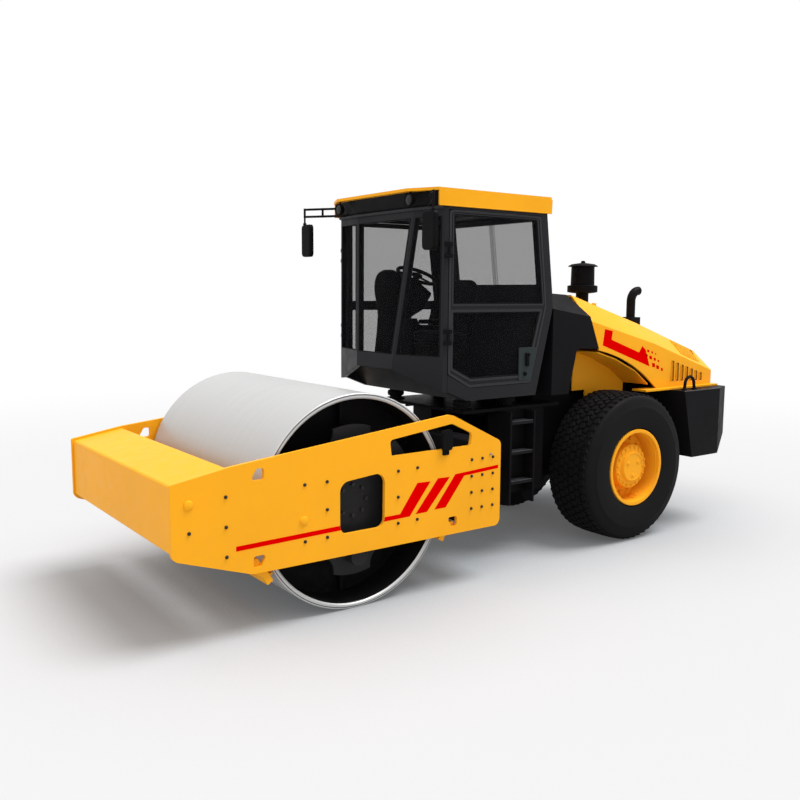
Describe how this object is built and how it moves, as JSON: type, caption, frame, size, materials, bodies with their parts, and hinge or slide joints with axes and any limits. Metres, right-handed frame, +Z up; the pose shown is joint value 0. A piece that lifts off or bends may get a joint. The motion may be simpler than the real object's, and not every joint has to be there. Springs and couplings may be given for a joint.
{
  "type": "road roller",
  "caption": "Articulated soil compactor: a smooth steel drum in a front frame, a tyred rear body with an engine under a sloping hood, and a closed cab between them.",
  "frame": {"origin": "on the ground, under the middle of the machine's length and width", "axes": "+X forward to the drum, +Y to the machine's left, +Z up"},
  "size_m": [6.5, 2.364, 3.36],
  "materials": {
    "yellow_paint": "gloss orange-yellow paint",
    "black_paint": "satin black paint",
    "grey_paint": "satin dark grey paint",
    "drum_steel": "light grey rolled steel",
    "frame_steel": "dark cast and welded steel",
    "tyre_rubber": "matte black rubber",
    "rim_paint": "gloss orange-yellow paint",
    "clear_glass": "tinted clear glass",
    "seat_cloth": "dark woven cloth over foam",
    "black_plastic": "moulded black plastic",
    "rod_chrome": "polished hard chrome",
    "pin_steel": "bright steel",
    "tread_steel": "grey gripping steel"
  },
  "bodies": {
    "chassis": {"rear_frame": "black_paint", "deck": "black_paint", "pivot_pins": "pin_steel", "rear_axle": "frame_steel", "engine_block": "frame_steel", "counterweight": "black_paint", "rear_shelf": "yellow_paint", "lifting_lugs": "black_paint", "inner_panels": "yellow_paint", "side_tanks": "black_paint", "step_frames": "black_paint", "step_treads": "tread_steel", "cab_mounts": "frame_steel", "rear_cowl": "black_paint", "cab_front": "black_paint", "front_glass": "clear_glass", "cab_side_left": "black_paint", "cab_side_right": "black_paint", "cab_rear": "black_paint", "rear_glass": "clear_glass", "cab_floor": "black_paint", "cab_header": "black_paint", "roof_cap": "yellow_paint", "door_hinges": "black_paint", "mirror_arms": "black_paint", "mirror_heads": "black_plastic", "seat_base": "black_paint", "seat": "seat_cloth", "console": "black_plastic", "steering_column": "black_plastic", "steering_wheel": "black_plastic", "side_console": "black_plastic", "work_lamps": "black_plastic"},
    "joint_link": {"centre_link": "frame_steel"},
    "drum_frame": {"side_plate_left": "yellow_paint", "side_plate_right": "yellow_paint", "front_beam": "yellow_paint", "rear_beam": "yellow_paint", "drum_hangers": "grey_paint", "scraper_front": "yellow_paint", "scraper_rear": "yellow_paint", "hose_clamps": "black_plastic"},
    "drum": {"drum_shell": "drum_steel", "drum_heads": "black_paint"},
    "left_wheel": {"tyre_left": "tyre_rubber", "rim_left": "rim_paint"},
    "right_wheel": {"tyre_right": "tyre_rubber", "rim_right": "rim_paint"},
    "left_door": {"door_left": "black_paint", "door_glass_left": "clear_glass"},
    "right_door": {"door_right": "black_paint", "door_glass_right": "clear_glass"},
    "engine_hood": {"hood": "yellow_paint", "pre_cleaner": "black_plastic", "exhaust": "black_paint"},
    "left_barrel": {"steering_barrel_left": "black_paint"},
    "right_barrel": {"steering_barrel_right": "black_paint"},
    "left_rod": {"steering_rod_left": "rod_chrome"},
    "right_rod": {"steering_rod_right": "rod_chrome"}
  },
  "joints": [
    {"name": "steer", "type": "hinge", "parent": "chassis", "child": "joint_link", "pos_m": [-0.035, 0, 0.8], "axis": [0, 0, 1], "range_deg": [-33, 33]},
    {"name": "oscillate", "type": "hinge", "parent": "joint_link", "child": "drum_frame", "pos_m": [-0.035, 0, 0.8], "axis": [1, 0, 0], "range_deg": [-10, 10]},
    {"name": "drum_spin", "type": "hinge", "parent": "drum_frame", "child": "drum", "pos_m": [1.715, 0, 0.85], "axis": [0, 1, 0], "continuous": true},
    {"name": "left_wheel_spin", "type": "hinge", "parent": "chassis", "child": "left_wheel", "pos_m": [-1.605, 0.839, 0.745], "axis": [0, 1, 0], "continuous": true},
    {"name": "right_wheel_spin", "type": "hinge", "parent": "chassis", "child": "right_wheel", "pos_m": [-1.605, -0.839, 0.745], "axis": [0, 1, 0], "continuous": true},
    {"name": "left_door_swing", "type": "hinge", "parent": "chassis", "child": "left_door", "pos_m": [0.594, 0.835, 2.4], "axis": [0, 0, 1], "range_deg": [-90, 0]},
    {"name": "right_door_swing", "type": "hinge", "parent": "chassis", "child": "right_door", "pos_m": [0.594, -0.835, 2.4], "axis": [0, 0, 1], "range_deg": [0, 90]},
    {"name": "hood_lift", "type": "hinge", "parent": "chassis", "child": "engine_hood", "pos_m": [-3.23, 0, 1.492], "axis": [0, -1, 0], "range_deg": [0, 50]},
    {"name": "left_barrel_swing", "type": "hinge", "parent": "chassis", "child": "left_barrel", "pos_m": [-0.635, 0.33, 0.8], "axis": [0, 0, 1], "range_deg": [-2.5, 2.5]},
    {"name": "left_rod_slide", "type": "slide", "parent": "left_barrel", "child": "left_rod", "axis": [0.9857, -0.1686, 0], "range_m": [-0.13, 0.13]},
    {"name": "right_barrel_swing", "type": "hinge", "parent": "chassis", "child": "right_barrel", "pos_m": [-0.635, -0.33, 0.8], "axis": [0, 0, 1], "range_deg": [-2.5, 2.5]},
    {"name": "right_rod_slide", "type": "slide", "parent": "right_barrel", "child": "right_rod", "axis": [0.9857, 0.1686, 0], "range_m": [-0.13, 0.13]}
  ],
  "couplings": [
    {"joint": "left_barrel_swing", "follows": "steer", "ratio": 0.058},
    {"joint": "left_rod_slide", "follows": "steer", "m_per_rad": -0.2143},
    {"joint": "right_barrel_swing", "follows": "steer", "ratio": 0.058},
    {"joint": "right_rod_slide", "follows": "steer", "m_per_rad": 0.2143}
  ]
}
